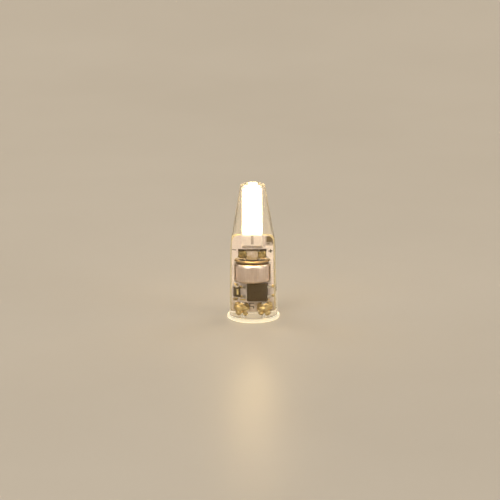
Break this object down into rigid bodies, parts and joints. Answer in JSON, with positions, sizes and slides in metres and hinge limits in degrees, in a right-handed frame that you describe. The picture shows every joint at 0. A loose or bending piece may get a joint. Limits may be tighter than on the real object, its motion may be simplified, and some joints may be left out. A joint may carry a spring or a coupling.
{
  "type": "led capsule bulb",
  "caption": "Clear silicone capsule bulb with a two-sided led strip standing on a small driver board, and a pair of contact pins.",
  "frame": {"origin": "centre of the flat base face of the silicone, between the contact pins", "axes": "+Z along the capsule to its tip, away from the pins; the pins lie along X; -Y is the front, the side of the board that carries the led strip, the rectifier and the diode"},
  "size_m": [0.0136, 0.0134, 0.0431],
  "materials": {
    "clear_silicone": "gloss",
    "white_board": null,
    "white_ceramic": null,
    "lit_phosphor": null,
    "tinned_pad": null,
    "can_metal": null,
    "black_rubber": null,
    "tinned_steel": null,
    "tinned_pin": null,
    "solder": null,
    "black_moulding": null,
    "tinned_lead": null,
    "ferrite": null,
    "enamelled_copper": null,
    "resistor_glaze": null,
    "tinned_cap": null,
    "tan_ceramic": null
  },
  "bodies": {
    "root": {"silicone_body": "clear_silicone", "circuit_board": "white_board", "led_substrate": "white_ceramic", "phosphor_front": "lit_phosphor", "phosphor_back": "lit_phosphor", "led_contact_pads": "tinned_pad", "capacitor_can": "can_metal", "capacitor_bung": "black_rubber", "capacitor_leads": "tinned_steel", "contact_pin_left": "tinned_pin", "contact_pin_right": "tinned_pin", "pin_solder": "solder", "strip_solder": "solder", "capacitor_solder": "solder", "rectifier_solder": "solder", "diode_solder": "solder", "rear_solder": "solder", "rectifier_body": "black_moulding", "diode_body": "black_moulding", "driver_chip_body": "black_moulding", "rectifier_leads": "tinned_lead", "diode_leads": "tinned_lead", "driver_chip_leads": "tinned_lead", "inductor_core": "ferrite", "inductor_winding": "enamelled_copper", "inductor_terminals": "tinned_lead", "resistor_bodies": "resistor_glaze", "resistor_ends": "tinned_cap", "ceramic_bodies": "tan_ceramic", "ceramic_ends": "tinned_cap"}
  },
  "joints": []
}
